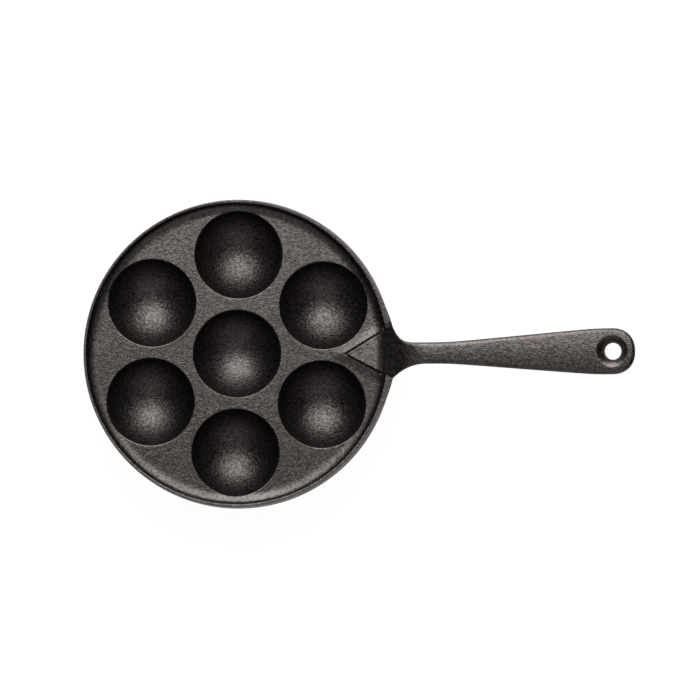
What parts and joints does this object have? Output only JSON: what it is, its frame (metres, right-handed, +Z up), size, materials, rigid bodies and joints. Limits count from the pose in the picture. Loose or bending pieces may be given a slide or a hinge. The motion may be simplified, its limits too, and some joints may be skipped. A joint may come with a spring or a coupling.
{
  "type": "stovetop muffin pan",
  "caption": "Round cast-iron stovetop muffin pan: hemispherical cups in a rimmed plate on a skirt, and a long iron handle with a hanging hole.",
  "frame": {"origin": "middle of the ground flat under the centre cup, on the surface that the pan stands on", "axes": "+X from the pan's centre along the handle, +Z up"},
  "size_m": [0.3609, 0.2042, 0.0644],
  "materials": {
    "pan_iron": "seasoned, satin, fine cast grain",
    "handle_iron": "seasoned, satin, slightly coarser cast grain"
  },
  "bodies": {
    "root": {"pan_body": "pan_iron", "handle": "handle_iron"}
  },
  "joints": []
}
